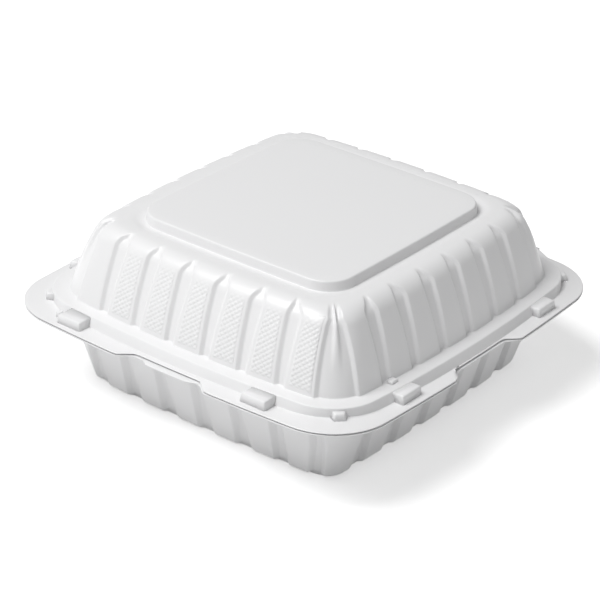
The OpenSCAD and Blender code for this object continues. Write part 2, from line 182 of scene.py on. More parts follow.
def panel_between(a, b):
    """Even columns over the panel between two groove sides."""
    return [(a + (b - a) * (i + 1) / (PANEL_COLUMNS + 1), 0) for i in range(PANEL_COLUMNS)]


def fluted_side(count, pitch, width, slope, shift, ends):
    """Columns of one side as (length from its middle, share of the groove's depth).

    With ends, one more groove side bounds each outer panel towards its corner.
    """
    columns = []
    reach = ((count + 1) * pitch - width) / 2
    if ends:
        columns += wall_columns(shift - reach, -1, slope, width)
    for i in range(count):
        centre = shift + pitch * (i - (count - 1) / 2)
        walls = wall_columns(centre - width / 2, 1, slope, width / 2)
        if columns:
            columns += panel_between(columns[-1][0], walls[0][0])
        columns += walls + [(centre, 1)] + wall_columns(centre + width / 2, -1, slope, width / 2)
    if ends:
        walls = wall_columns(shift + reach, 1, slope, width)
        columns += panel_between(columns[-1][0], walls[0][0]) + walls
    return columns


def smooth(x):
    x = min(1, max(0, x))
    return x * x * (3 - 2 * x)


def fitted(columns, middle):
    """Draws in the ends of a side that is too long for its ring, to leave the corner free."""
    room = middle - END_GAP
    start = SQUEEZED_FROM * room
    found = []
    for s, share in columns:
        reach = -columns[0][0] if s < 0 else columns[-1][0]
        if reach > room and abs(s) > start:
            s = math.copysign(start + (abs(s) - start) * (room - start) / (reach - start), s)
        found.append((s, share))
    return found


def whole_ring(sides, g, corner_columns, corner_share):
    """All columns round the ring as (length round it, share of the groove's depth)."""
    quarter = g["quarter"]
    front_middle = g["lengths"][0] + g["lengths"][1] / 2
    middles = (front_middle, quarter - front_middle) * 2
    fits = [fitted(side, middle) for side, middle in zip(sides, middles)]
    columns = []
    for k in range(4):
        here = [(k * quarter + s, share) for s, share in fits[k]]
        start, stop = here[-1][0], (k + 1) * quarter + fits[(k + 1) % 4][0][0]
        columns += here
        for i in range(corner_columns):
            v = (i + 1) / (corner_columns + 1)
            columns.append((start + (stop - start) * v, corner_share(2 * v - 1)))
    return columns


# %% [markdown]
# ## From levels to a sheet
# A level holds everything that one ring needs: its outline, its height, how deep the grooves are
# there. Corners of the profile are rounded by sliding from one level to the next along a curve.
# The mesh itself is a circle of edges that is extruded once for each level, which is how a
# sheet is drawn down over a mould.

# %% Levels
FIELDS = ("half_x", "half_y", "corner", "bow", "z", "groove", "up", "ridge", "facing")
FILLET_STEPS, FILLET_SHARE = 4, 0.45


def level(half_x, half_y, corner, bow, z, groove=0, up=0, ridge=0, facing=0, fillet=0):
    """One ring: its outline and height, then shares of the groove's depth, of the wall's height
    and of the corner's ridge, the way the surface faces in degrees, and the fillet put there."""
    sizes = (half_x, half_y, corner, bow, z, groove, up, ridge, facing)
    return dict(zip(FIELDS, sizes), fillet=fillet)


def level_ring(l):
    return ring(l["half_x"], l["half_y"], l["corner"], l["bow"])


def mix_levels(a, b, f):
    return {name: a[name] + (b[name] - a[name]) * f for name in FIELDS}


def step_length(a, b):
    return math.hypot(a["half_y"] - b["half_y"], a["z"] - b["z"])


def round_profile(levels):
    """Puts a curve in place of each level that has a fillet."""
    found = []
    for i, here in enumerate(levels):
        if not here["fillet"] or i in (0, len(levels) - 1):
            found.append(here)
            continue
        before, after = levels[i - 1], levels[i + 1]
        a = mix_levels(here, before, min(FILLET_SHARE, here["fillet"] / step_length(here, before)))
        b = mix_levels(here, after, min(FILLET_SHARE, here["fillet"] / step_length(here, after)))
        for j in range(FILLET_STEPS + 1):
            f = j / FILLET_STEPS
            found.append(mix_levels(mix_levels(a, here, f), mix_levels(here, b, f), f))
    return found


# %% Points of a level, and the extruded sheet
def level_points(l, columns_at, depth_at):
    """The points round a level, and the columns they stand on."""
    g = level_ring(l)
    columns = columns_at(l, g)
    tilt = math.radians(l["facing"])
    points = []
    for p, share in columns:
        point, out = on_ring(g, p)
        sink = share * depth_at(l) * l["groove"]
        flat = point - out * sink * math.cos(tilt)
        points.append(Vector((flat.x, flat.y, l["z"] - sink * math.sin(tilt))))
    return points, columns


def extrude_ring(bm, loop, points):
    """Extrudes a closed loop of vertices and puts the new ones at the given points."""
    old = set(loop)
    edges = [e for v in loop for e in v.link_edges
             if e.other_vert(v) in old and len(e.link_faces) < 2]
    edges = list(dict.fromkeys(edges))
    made = bmesh.ops.extrude_edge_only(bm, edges=edges)["geom"]
    fresh = {v for v in made if isinstance(v, bmesh.types.BMVert)}
    partner = {}
    for v in fresh:
        for e in v.link_edges:
            other = e.other_vert(v)
            if other in old:
                partner[other] = v
    ring_loop = [partner[v] for v in loop]
    for v, point in zip(ring_loop, points):
        v.co = point * MM
    return ring_loop


def first_ring(bm, points):
    made = bmesh.ops.create_circle(bm, cap_ends=False, radius=1, segments=len(points))["verts"]
    for v, point in zip(made, points):
        v.co = point * MM
    return made


def finish_mesh(bm, name, thickness=None, cap_faces=0):
    """Makes the object; cap_faces is 1 or -1 where the largest face has to look up or down."""
    bmesh.ops.recalc_face_normals(bm, faces=bm.faces[:])
    largest = max(bm.faces, key=lambda f: f.calc_area())
    if largest.normal.z * cap_faces < 0:
        bmesh.ops.reverse_faces(bm, faces=bm.faces[:])
    for f in bm.faces:
        f.smooth = True
    mesh = bpy.data.meshes.new(name)
    bm.to_mesh(mesh)
    bm.free()
    piece = bpy.data.objects.new(name, mesh)
    bpy.context.scene.collection.objects.link(piece)
    if thickness:
        skin = piece.modifiers.new("sheet", "SOLIDIFY")
        skin.thickness = thickness * MM
        skin.offset = -1
    print(name, "has", len(mesh.vertices), "vertices and", len(mesh.polygons), "faces")
    return piece


# %% [markdown]
# ## The flange
# Both halves end in a flat flange that is cut out with a die. It has a shallow notch for the thumb
# in the middle of three sides, rounded corners, and at the back it steps out to the hinge.
# The notches are eased ramps like the flutes, only larger.

# %% Flange outline
RIM_X, RIM_Y = 101.6, 107.2
EAR_INSET = 3.7
RIM_CORNER, RIM_BOW = 30.5, 2.1
HINGE_HALF, HINGE_SLOPE = 57, 9
NOTCH_HALF, NOTCH_SLOPE, NOTCH_DEPTH = 19, 6, 6.1
NOTCH_STEP = 0.9
TAB_X, TAB_HALF, TAB_SLOPE, TAB_OUT = 1.5, 11.5, 3.2, 2.3
HINGE_ROUND, NOTCH_ROUND, TAB_ROUND = 0.8, 1.4, 0.9
FRONT_SIDE, BACK_SIDE = 0, 2


def bump(t, half, slope, rounding):
    """A plateau of 1 on both sides of the middle, with a ramp down at each end."""
    return eased(half + slope - abs(t), slope, rounding)


def rim_points(columns, quarter, z, notch, tab):
    """One point on the die-cut edge for each column of the formed part."""
    g = ring(RIM_X, RIM_Y - EAR_INSET / 2, RIM_CORNER, RIM_BOW)
    points = []
    for p, _ in columns:
        flat, out = on_ring(g, p * g["quarter"] / quarter)
        flat = flat + Vector((0, -EAR_INSET / 2))
        nearest = round(p / quarter) % 4
        t = flat.x if nearest in (FRONT_SIDE, BACK_SIDE) else flat.y
        if nearest == BACK_SIDE:
            reach = bump(t, HINGE_HALF, HINGE_SLOPE, HINGE_ROUND)
            flat.y += (HINGE_EDGE - flat.y) * reach
        else:
            sunk = notch * bump(t, NOTCH_HALF, NOTCH_SLOPE, NOTCH_ROUND)
            if nearest == FRONT_SIDE and tab:
                sunk -= tab * bump(t - TAB_X, TAB_HALF, TAB_SLOPE, TAB_ROUND)
            flat = flat - out * sunk
        points.append(Vector((flat.x, flat.y, z)))
    return points


# %% [markdown]
# ## The lid's profile
# From the flange the sheet rises into the locking bead, runs level to the foot of the dome, climbs
# the drafted wall, turns over the shoulder, dips into a gutter and rises again to the flat
# panel on top, where another container can stand.

# %% Lid sizes
BEAD_H, BEAD_LEAN, BEAD_TOP_CORNER = 4.4, 2.2, 25
BEAD_STRIP = 0.45
DOME_X, DOME_Y, DOME_CORNER, DOME_BOW = 86.5, 90.2, 18.8, 3.5
CREST_H, CREST_INSET, CREST_CORNER, CREST_BOW, CREST_W = 38.8, 19.2, 16, 1.8, 4.2
SHOULDER_R, WALL_DRAFT, WALL_SWELL = 10, 19, 0.8
PANEL_X, PANEL_Y, PANEL_CORNER, PANEL_BOW = 56.8, 59.5, 14, 0.4
PANEL_LEAN, GUTTER_DROP = 0.8, 1.3
GROOVES, PITCH, PITCH_TOP = 6, 20.2, 19.5
GROOVE_W, GROOVE_W_TOP, GROOVE_DEPTH, GROOVE_SIDE = 5.8, 8.9, 1.5, 1.6
FRONT_SHIFT, SIDE_SHIFT = 1.2, -4.6
# Fillets of the profile, and the flat ring round the panel's closing face
BEAD_FOOT_FILLET, BEAD_TOP_FILLET, DOME_FOOT_FILLET = 0.5, 0.6, 0.5
CREST_FILLET, GUTTER_FILLET, PANEL_FILLET, PANEL_FLAT = 1.6, 0.7, 0.9, 6
# The corner's ridge starts this far up the wall, and is this wide as shares of half the corner
RIDGE_FROM, RIDGE_HALF, RIDGE_FADE = 0.3, 0.1, 0.4
# On the shoulder the grooves fade by its share and narrow by the way it faces, in degrees
FADE_FROM, FADE_OVER = 0.5, 0.48
NARROW_BY, NARROW_FROM, NARROW_OVER, SIDE_SHARE = 0.62, 30, 55, 0.3
WALL_STEPS, SHOULDER_STEPS, LID_CORNER_COLUMNS = 10, 12, 16
draft = math.radians(WALL_DRAFT)
WALL_TOP = CREST_H - SHOULDER_R + SHOULDER_R * math.sin(draft)
WALL_IN = CREST_INSET - SHOULDER_R * math.cos(draft)
print("the wall rises", round(WALL_TOP - BEAD_H, 1), "mm and leans in", round(WALL_IN, 1), "mm")


def mix(a, b, f):
    return a + (b - a) * f


def wall_inset(f):
    """How far in from its foot the swelling wall stands, at a share of its height."""
    return WALL_IN * f - WALL_SWELL * 4 * f * (1 - f)


def shoulder_inset(a):
    """The same on the shoulder, where the surface has turned by an angle."""
    return CREST_INSET - SHOULDER_R * math.cos(a)


def dome_level(inset, z, groove, ridge, facing, fillet=0):
    f = min(1, inset / CREST_INSET)
    up = min(1, max(0, (z - BEAD_H) / (CREST_H - BEAD_H)))
    return level(DOME_X - inset, DOME_Y - inset, mix(DOME_CORNER, CREST_CORNER, f),
                 mix(DOME_BOW, CREST_BOW, f), LID_Z + z, groove, up, ridge, facing, fillet)


def bead_level(out, corner, z, fillet):
    return level(BEAD_X + out, BEAD_Y + out, corner, BEAD_BOW, LID_Z + z, fillet=fillet)


def panel_level(out, z, fillet):
    return level(PANEL_X + out, PANEL_Y + out, PANEL_CORNER + out, PANEL_BOW, z, up=1, fillet=fillet)


# %% Lid levels
def lid_levels():
    levels = [bead_level(BEAD_STRIP, BEAD_CORNER, 0, 0),
              bead_level(0, BEAD_CORNER, 0, BEAD_FOOT_FILLET),
              bead_level(-BEAD_LEAN, BEAD_TOP_CORNER, BEAD_H, BEAD_TOP_FILLET),
              dome_level(0, BEAD_H, 1, 0, 0, DOME_FOOT_FILLET)]
    for i in range(1, WALL_STEPS + 1):
        f = i / WALL_STEPS
        ridge = smooth((f - RIDGE_FROM) / (1 - RIDGE_FROM))
        levels.append(dome_level(wall_inset(f), mix(BEAD_H, WALL_TOP, f), 1, ridge, WALL_DRAFT * f))
    for i in range(1, SHOULDER_STEPS):
        f = i / SHOULDER_STEPS
        a = mix(draft, math.pi / 2, f)
        z = CREST_H - SHOULDER_R + SHOULDER_R * math.sin(a)
        groove = 1 - smooth((f - FADE_FROM) / FADE_OVER)
        levels.append(dome_level(shoulder_inset(a), z, groove, 1, math.degrees(a)))
    levels += [dome_level(CREST_INSET, CREST_H, 0, 0, 90),
               dome_level(CREST_INSET + CREST_W, CREST_H, 0, 0, 90, CREST_FILLET),
               panel_level(PANEL_LEAN, LID_Z + CREST_H - GUTTER_DROP, GUTTER_FILLET),
               panel_level(0, PANEL_Z, PANEL_FILLET),
               panel_level(-PANEL_FLAT, PANEL_Z, 0)]
    return round_profile(levels)


print("the lid has", len(lid_levels()), "levels")


def lid_flutes(l):
    """The pitch of the grooves and their width on the wall, at a level."""
    return mix(PITCH, PITCH_TOP, l["up"]), mix(GROOVE_W, GROOVE_W_TOP, l["up"])


def lid_columns(l, g):
    pitch, width = lid_flutes(l)
    width *= 1 - NARROW_BY * smooth((l["facing"] - NARROW_FROM) / NARROW_OVER)
    slope = min(GROOVE_SIDE, SIDE_SHARE * width)
    sides = [fluted_side(GROOVES, pitch, width, slope, shift, True)
             for shift in (FRONT_SHIFT, SIDE_SHIFT, -FRONT_SHIFT, -SIDE_SHIFT)]

    def corner_share(v):
        return 1 - l["ridge"] * (1 - smooth((abs(v) - RIDGE_HALF) / RIDGE_FADE))
    return whole_ring(sides, g, LID_CORNER_COLUMNS, corner_share)


# %% [markdown]
# ## Building the lid
# The first ring is the die-cut edge of the flange, and three more beside it keep that edge crisp.
# Then comes one extrusion for each level, up to the panel, which is closed with one flat face.
# A solidify modifier gives the sheet its 0.6 mm.

# %% Build the lid
RIM_ROUND, RIM_SHARE, LID_LIP = 0.8, 0.5, 0.28
RIM_RINGS = (0.3, 0.7, 1)


def build_sheet(levels, columns_at, depth_at, rim_z, notch, tab, lip):
    """Extrudes a sheet from its die-cut edge over all the levels and closes the last one."""
    bm = bmesh.new()
    first, columns = level_points(levels[0], columns_at, depth_at)
    quarter = level_ring(levels[0])["quarter"]
    rim = rim_points(columns, quarter, rim_z, notch, tab)
    steps = [(b - a) * min(1, RIM_ROUND / (b - a).length) * RIM_SHARE
             for a, b in zip(rim, first)]
    loop = first_ring(bm, [a - Vector((0, 0, lip)) for a in rim])
    for f in RIM_RINGS:
        drop = Vector((0, 0, lip * (1 - f) ** 2))
        loop = extrude_ring(bm, loop, [a + s * f - drop for a, s in zip(rim, steps)])
    for l in levels:
        loop = extrude_ring(bm, loop, level_points(l, columns_at, depth_at)[0])
    last = set(loop)
    bmesh.ops.contextual_create(bm, geom=[e for e in bm.edges if e.is_boundary
                                          and all(v in last for v in e.verts)])
    return bm


lid_bm = build_sheet(lid_levels(), lid_columns, lambda l: GROOVE_DEPTH, LID_Z,
                     NOTCH_DEPTH, 0, LID_LIP)
lid_sheet = finish_mesh(lid_bm, "lid_sheet", SHEET, 1)
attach(lid_sheet, "lid")
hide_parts("lid")

# %% [markdown]
# ## Diamond texture
# Six of the lid's front panels carry a fine diamond texture, so that fingers don't slip. It is cut
# into the mould, so it is real relief: small pillows, each between two pairs of crossing
# lines. A fine grid is laid on each panel, as high as the pillows and fading out towards its borders.

# %% A panel's grid
DIAMOND_W, DIAMOND_H, DIAMOND_RISE, PILLOW_POWER = 2.9, 2.3, 0.34, 0.8
GRID_X, GRID_Z = DIAMOND_W / 12, DIAMOND_H / 10
DIAMOND_MARGIN, DIAMOND_FADE = 1.3, 0.7
DIAMOND_FOOT, DIAMOND_TOP = 6, 36.4
FOOT_FADE, TOP_FADE = 1.5, 6
# The grid's bed between the lines, how deep its border sits in the sheet, and its rise along Z
DIAMOND_BED, DIAMOND_SUNK, RISE_UP = 0.05, 0.02, 0.2
DIAMOND_PANELS = range(-2, 4)
DIAMOND_SKIN = 0.25


def wall_level_at(z):
    """The dome's level at a height above the lid's flange."""
    if z <= WALL_TOP:
        return dome_level(wall_inset((z - BEAD_H) / (WALL_TOP - BEAD_H)), z, 1, 0, 0)
    a = math.asin((z - CREST_H + SHOULDER_R) / SHOULDER_R)
    return dome_level(shoulder_inset(a), z, 1, 0, 0)


def pillow(x, z):
    """Height share of the pillows, which are zero along two sets of crossing lines."""
    one, two = x / DIAMOND_W + z / DIAMOND_H, x / DIAMOND_W - z / DIAMOND_H
    return abs(math.sin(math.pi * one) * math.sin(math.pi * two)) ** PILLOW_POWER


def diamond_panel(bm, i):
    rows = int((DIAMOND_TOP - DIAMOND_FOOT) / GRID_Z)
    width_foot = PITCH - GROOVE_W - 2 * DIAMOND_MARGIN
    count = int(width_foot / GRID_X / 2) * 2
    made = bmesh.ops.create_grid(bm, x_segments=count, y_segments=rows, size=1)["verts"]
    for v in made:
        column, row = round((v.co.x + 1) / 2 * count), round((v.co.y + 1) / 2 * rows)
        z = DIAMOND_FOOT + row * GRID_Z
        l = wall_level_at(z)
        pitch, width = lid_flutes(l)
        half = (pitch - width) / 2 - DIAMOND_MARGIN
        x = (column / count * 2 - 1) * half
        s = FRONT_SHIFT + pitch * i + x
        point, out = on_ring(level_ring(l), s)
        side = smooth((half - abs(x)) / DIAMOND_FADE)
        tall = smooth((z - DIAMOND_FOOT) / FOOT_FADE) * smooth((DIAMOND_TOP - z) / TOP_FADE)
        rise = side * tall * (DIAMOND_BED + DIAMOND_RISE * pillow(x, z)) - DIAMOND_SUNK
        v.co = Vector((point.x + out.x * rise, point.y + out.y * rise,
                       l["z"] + rise * RISE_UP)) * MM


diamonds = bmesh.new()
for i in DIAMOND_PANELS:
    diamond_panel(diamonds, i)
lid_diamonds = finish_mesh(diamonds, "lid_diamonds", DIAMOND_SKIN)
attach(lid_diamonds, "lid")

# %% [markdown]
# ## The tub
# The tub's bead fits inside the lid's bead and locks the container shut. Below it the wall runs
# down in broad flutes that grow shallower towards the foot, and a small round edge leads into
# the flat underside. It is the same kind of extruded sheet, drawn from the flange inwards.

# %% Tub sizes and levels
TUB_X, TUB_Y, TUB_CORNER, TUB_BOW = 73, 77.2, 11.5, 1.8
TUB_TOP_X, TUB_TOP_Y, TUB_TOP_CORNER = 84.8, 90, 16
TUB_EDGE, TUB_FLAT = 3, 5
TUB_FRONT_GROOVES, TUB_SIDE_GROOVES = 7, 6
TUB_PITCH, TUB_SIDE_PITCH = 21.6, 21.9
TUB_GROOVE_W_TOP, TUB_GROOVE_W = 5.8, 10
TUB_GROOVE_TOP, TUB_GROOVE_FOOT = 3.4, 2
TUB_GROOVE_SIDE_TOP, TUB_GROOVE_SIDE = 2.6, 2.2
TUB_FRONT_SHIFT, TUB_SIDE_SHIFT = 3.2, -1.7
TUB_BEAD_FOOT_FILLET, TUB_BEAD_TOP_FILLET, TUB_MOUTH_FILLET = 0.6, 0.7, 0.6
TUB_WALL_STEPS, TUB_EDGE_STEPS, TUB_FADE_STEPS, TUB_CORNER_COLUMNS = 10, 6, 2, 18
BEAD_GAP = 0.5
bead_tilt = BEAD_LEAN / BEAD_H
bead_nest = (2 * SHEET + BEAD_GAP) * math.sqrt(1 + bead_tilt ** 2)
tub_bead_top = LID_Z + (BEAD_H - 2 * SHEET - BEAD_GAP)


def tub_bead_level(out, corner, z, fillet):
    inset = bead_tilt * (z - LID_Z) + bead_nest - out
    return level(BEAD_X - inset, BEAD_Y - inset, corner - inset, BEAD_BOW, z, up=1, fillet=fillet)


def tub_level(z, inset, groove, facing, fillet=0):
    f = z / TUB_UNDER
    return level(mix(TUB_X, TUB_TOP_X, f) - inset, mix(TUB_Y, TUB_TOP_Y, f) - inset,
                 mix(TUB_CORNER, TUB_TOP_CORNER, f) - inset, mix(TUB_BOW, BEAD_BOW, f), z,
                 groove, f, 0, facing, fillet)


def tub_levels():
    levels = [tub_bead_level(BEAD_STRIP, BEAD_CORNER, TUB_UNDER, 0),
              tub_bead_level(0, BEAD_CORNER, TUB_UNDER, TUB_BEAD_FOOT_FILLET),
              tub_bead_level(0, BEAD_TOP_CORNER + BEAD_LEAN, tub_bead_top, TUB_BEAD_TOP_FILLET),
              tub_level(tub_bead_top, 0, 0, 0, TUB_MOUTH_FILLET)]
    for i in range(TUB_WALL_STEPS + 1):
        levels.append(tub_level(mix(TUB_UNDER, TUB_EDGE, i / TUB_WALL_STEPS), 0, 1, 0))
    for i in range(1, TUB_EDGE_STEPS + 1):
        a = math.pi / 2 * i / TUB_EDGE_STEPS
        groove = 1 - smooth((i - TUB_EDGE_STEPS + TUB_FADE_STEPS) / TUB_FADE_STEPS)
        levels.append(tub_level(TUB_EDGE * (1 - math.sin(a)), TUB_EDGE * (1 - math.cos(a)),
                                groove, -math.degrees(a)))
    levels.append(tub_level(0, TUB_EDGE + TUB_FLAT, 0, -90))
    return round_profile(levels)


def tub_columns(l, g):
    height = min(1, l["up"])
    width = mix(TUB_GROOVE_W, TUB_GROOVE_W_TOP, height)
    slope = mix(TUB_GROOVE_SIDE, TUB_GROOVE_SIDE_TOP, height)
    front = (TUB_FRONT_GROOVES, TUB_PITCH, TUB_FRONT_SHIFT)
    right_side = (TUB_SIDE_GROOVES, TUB_SIDE_PITCH, TUB_SIDE_SHIFT)
    sides = [fluted_side(count, pitch, width, slope, sign * shift, False)
             for sign in (1, -1) for count, pitch, shift in (front, right_side)]
    return whole_ring(sides, g, TUB_CORNER_COLUMNS, lambda v: 0)


def tub_groove_depth(l):
    return mix(TUB_GROOVE_FOOT, TUB_GROOVE_TOP, l["up"])


print("the tub has", len(tub_levels()), "levels")


# %% Build the tub
tub_bm = build_sheet(tub_levels(), tub_columns, tub_groove_depth, TUB_UNDER,
                     NOTCH_DEPTH - NOTCH_STEP, TAB_OUT, 0)
tub_sheet = finish_mesh(tub_bm, "tub_sheet", SHEET, -1)
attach(tub_sheet, "base")
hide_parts("base")

# %% [markdown]
# ## Lugs, stubs, nib and peg
# Two lugs on each of three sides stand against the bead and keep stacked lids from sliding.
# A small stub stands outside each corner of the bead, a nib at the dome's foot, and a peg beside
# one front lug. They are pressed into the same sheet, so each leans in by its draft and has rounded
# edges. The root of each block follows the bead's bowed and leaning side.

# %% Blocks
LUG_LEN, LUG_PLACE, LUG_SHIFT, LUG_H, LUG_DRAFT = 14, 53, -4.2, 4.1, 0.5
LUG_OUT_FRONT, LUG_OUT_SIDE = 4.4, 2.1
STUB_LEN, STUB_H, STUB_OUT, STUB_TAPER = 8, 3.2, 3.2, 1.4
NIB_PLACE, NIB_LEN, NIB_OUT, NIB_H = -52.7, 5, 3, 1.3
PEG_D, PEG_H, PEG_GAP = 3.6, 2.6, 1.2
LUG_EDGE, NIB_EDGE, PEG_EDGE, EDGE_STEPS, PEG_SIDES = 0.7, 0.4, 0.5, 3, 32
ROOT, NEAR, STRAIGHT = 0.35, 0.01, 1e6


def sag(radius, along):
    """How far an arc has fallen back at a length from its middle."""
    return radius - math.sqrt(radius ** 2 - along ** 2)


def round_edges(bm, edges, offset):
    bmesh.ops.bevel(bm, geom=edges, offset=offset, offset_type="OFFSET", segments=EDGE_STEPS,
                    profile=0.5, material=-1, affect="EDGES", clamp_overlap=True)


def block(name, place, z, turn, size, taper=0, lean=0, along=0, radius=STRAIGHT, edge=LUG_EDGE):
    """A block that stands out along -Y by its middle size; its root follows the curve."""
    length, out, height = size
    bm = bmesh.new()
    bmesh.ops.create_cube(bm, size=2)
    for v in bm.verts:
        top, root = v.co.z > 0, v.co.y > 0
        x = math.copysign(length / 2 - (LUG_DRAFT if top else 0) - (0 if root else taper), v.co.x)
        up = height if top else -SHEET / 2
        y = sag(radius, along + x) + ROOT + lean * up if root else (LUG_DRAFT if top else 0) - out
        v.co = (x, y, up)
    rounded = [e for e in bm.edges if not all(v.co.z < 0 for v in e.verts)
               and not all(v.co.y >= ROOT + lean * v.co.z - NEAR for v in e.verts)]
    round_edges(bm, rounded, edge)
    spin = Matrix.Rotation(math.radians(turn), 3, "Z")
    bmesh.ops.rotate(bm, cent=(0, 0, 0), matrix=spin, verts=bm.verts[:])
    bmesh.ops.translate(bm, vec=(place[0], place[1], z), verts=bm.verts[:])
    bmesh.ops.scale(bm, vec=(MM, MM, MM), verts=bm.verts[:])
    piece = finish_mesh(bm, name)
    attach(piece, "lid")
    return piece


blocks = []
front_bow, side_bow = (bow_radius(half, BEAD_CORNER, BEAD_BOW) for half in (BEAD_X, BEAD_Y))
for k, sign in enumerate((-1, 1)):
    x = LUG_SHIFT + sign * LUG_PLACE
    blocks.append(block("lug_front_%d" % k, (x, -BEAD_Y), LID_Z, 0, (LUG_LEN, LUG_OUT_FRONT, LUG_H),
                        lean=bead_tilt, along=x, radius=front_bow))
    for side, word in ((1, "right"), (-1, "left")):
        blocks.append(block("lug_%s_%d" % (word, k), (side * BEAD_X, sign * LUG_PLACE), LID_Z,
                            side * 90, (LUG_LEN, LUG_OUT_SIDE, LUG_H), lean=bead_tilt,
                            along=side * sign * LUG_PLACE, radius=side_bow))
stub_centre, stub_r = bead_foot["corner"]
stub_reach = stub_r * math.sqrt(0.5)
for k, (sx, sy) in enumerate(((1, -1), (-1, -1), (1, 1), (-1, 1))):
    place = (sx * (stub_centre.x + stub_reach), sy * (stub_reach - stub_centre.y))
    blocks.append(block("stub_%d" % k, place, LID_Z, math.degrees(math.atan2(sy, sx)) + 90,
                        (STUB_LEN, STUB_OUT, STUB_H), STUB_TAPER, bead_tilt, 0, stub_r))
dome_foot = DOME_X - sag(bow_radius(DOME_Y, DOME_CORNER, DOME_BOW), NIB_PLACE)
blocks.append(block("nib", (dome_foot, NIB_PLACE), LID_Z + BEAD_H, 90,
                    (NIB_LEN, NIB_OUT, NIB_H), edge=NIB_EDGE))

# %% Peg
peg = bmesh.new()
bmesh.ops.create_cone(peg, cap_ends=True, segments=PEG_SIDES, radius1=PEG_D / 2,
                      radius2=(PEG_D - LUG_DRAFT) / 2, depth=PEG_H + SHEET / 2)
round_edges(peg, [e for e in peg.edges if all(v.co.z > 0 for v in e.verts)], PEG_EDGE)
peg_x = LUG_SHIFT - LUG_PLACE - LUG_LEN / 2 - PEG_GAP - PEG_D / 2
peg_y = -(BEAD_Y - sag(front_bow, LUG_PLACE + LUG_LEN / 2)) - PEG_D / 2
bmesh.ops.translate(peg, vec=(peg_x, peg_y, LID_Z + (PEG_H - SHEET / 2) / 2), verts=peg.verts[:])
bmesh.ops.scale(peg, vec=(MM, MM, MM), verts=peg.verts[:])
blocks.append(finish_mesh(peg, "peg"))
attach(blocks[-1], "lid")
print("blocks:", [b.name for b in blocks])

# %% [markdown]
# ## The living hinge
# Along the back the two flanges are one sheet, thinned where the real one folds. The web is built
#  only in its closed shape, a tight half round, and is not attached to either body.

# %% Hinge web
WEB_LAP, WEB_T, WEB_CLEAR, WEB_STEPS = 1.2, 0.3, 0.02, 12
WEB_R = LID_Z - hinge_z + WEB_CLEAR
web = bmesh.new()
path = [(hinge_y - WEB_LAP, hinge_z - WEB_R)]
path += [(hinge_y + WEB_R * math.cos(a), hinge_z + WEB_R * math.sin(a))
         for a in (math.pi * (i / WEB_STEPS - 0.5) for i in range(WEB_STEPS + 1))]
path += [(hinge_y - WEB_LAP, hinge_z + WEB_R)]
row = [web.verts.new((-HINGE_HALF * MM, y * MM, z * MM)) for y, z in path]
edges = [web.edges.new(pair) for pair in zip(row, row[1:])]
made = bmesh.ops.extrude_edge_only(web, edges=edges)["geom"]
bmesh.ops.translate(web, vec=(2 * HINGE_HALF * MM, 0, 0),
                    verts=[v for v in made if isinstance(v, bmesh.types.BMVert)])
hinge_web = finish_mesh(web, "hinge_web", WEB_T)
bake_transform(hinge_web)

# %% [markdown]
# ## White plastic
# The sheet is white filled polypropylene: opaque, satin, with a faint unevenness in its gloss
# where it lay on the mould. Both halves share one material. Its grain is a shader group of its own,
# with the grain's size as input and a height and a roughness as outputs.

# %% Grain group and material
GRAIN_SIZE, GRAIN_DETAIL, GRAIN_STRENGTH, GRAIN_DEPTH = 1400, 3, 0.05, 0.0002
PATCH_SIZE, PATCH_DETAIL = 22, 4
ROUGH_LOW, ROUGH_HIGH = 0.26, 0.36
WHITE, PLASTIC_IOR = (0.83, 0.83, 0.835, 1), 1.49


def grain_group():
    group = bpy.data.node_groups.new("sheet_grain", "ShaderNodeTree")
    group.interface.new_socket("Size", in_out="INPUT", socket_type="NodeSocketFloat")
    group.interface.new_socket("Height", in_out="OUTPUT", socket_type="NodeSocketFloat")
    group.interface.new_socket("Gloss", in_out="OUTPUT", socket_type="NodeSocketFloat")
    nodes, links = group.nodes, group.links
    inputs, outputs = nodes.new("NodeGroupInput"), nodes.new("NodeGroupOutput")
    place = nodes.new("ShaderNodeTexCoord")
    fine = nodes.new("ShaderNodeTexNoise")
    fine.inputs["Detail"].default_value = GRAIN_DETAIL
    links.new(place.outputs["Object"], fine.inputs["Vector"])
    links.new(inputs.outputs["Size"], fine.inputs["Scale"])
    broad = nodes.new("ShaderNodeTexNoise")
    broad.inputs["Scale"].default_value = PATCH_SIZE
    broad.inputs["Detail"].default_value = PATCH_DETAIL
    links.new(place.outputs["Object"], broad.inputs["Vector"])
    spread = nodes.new("ShaderNodeMapRange")
    spread.inputs["To Min"].default_value = ROUGH_LOW
    spread.inputs["To Max"].default_value = ROUGH_HIGH
    links.new(broad.outputs["Fac"], spread.inputs["Value"])
    links.new(fine.outputs["Fac"], outputs.inputs["Height"])
    links.new(spread.outputs["Result"], outputs.inputs["Gloss"])
    return group


GRAIN = grain_group()


def white_plastic(name):
    material = bpy.data.materials.new(name)
    material.use_nodes = True
    nodes, links = material.node_tree.nodes, material.node_tree.links
    shader = nodes["Principled BSDF"]
    shader.inputs["Base Color"].default_value = WHITE
    shader.inputs["IOR"].default_value = PLASTIC_IOR
    grain = nodes.new("ShaderNodeGroup")
    grain.node_tree = GRAIN
    grain.inputs["Size"].default_value = GRAIN_SIZE
    links.new(grain.outputs["Gloss"], shader.inputs["Roughness"])
    grain_bump = nodes.new("ShaderNodeBump")
    grain_bump.inputs["Strength"].default_value = GRAIN_STRENGTH
    grain_bump.inputs["Distance"].default_value = GRAIN_DEPTH
    links.new(grain.outputs["Height"], grain_bump.inputs["Height"])
    links.new(grain_bump.outputs["Normal"], shader.inputs["Normal"])
    return material


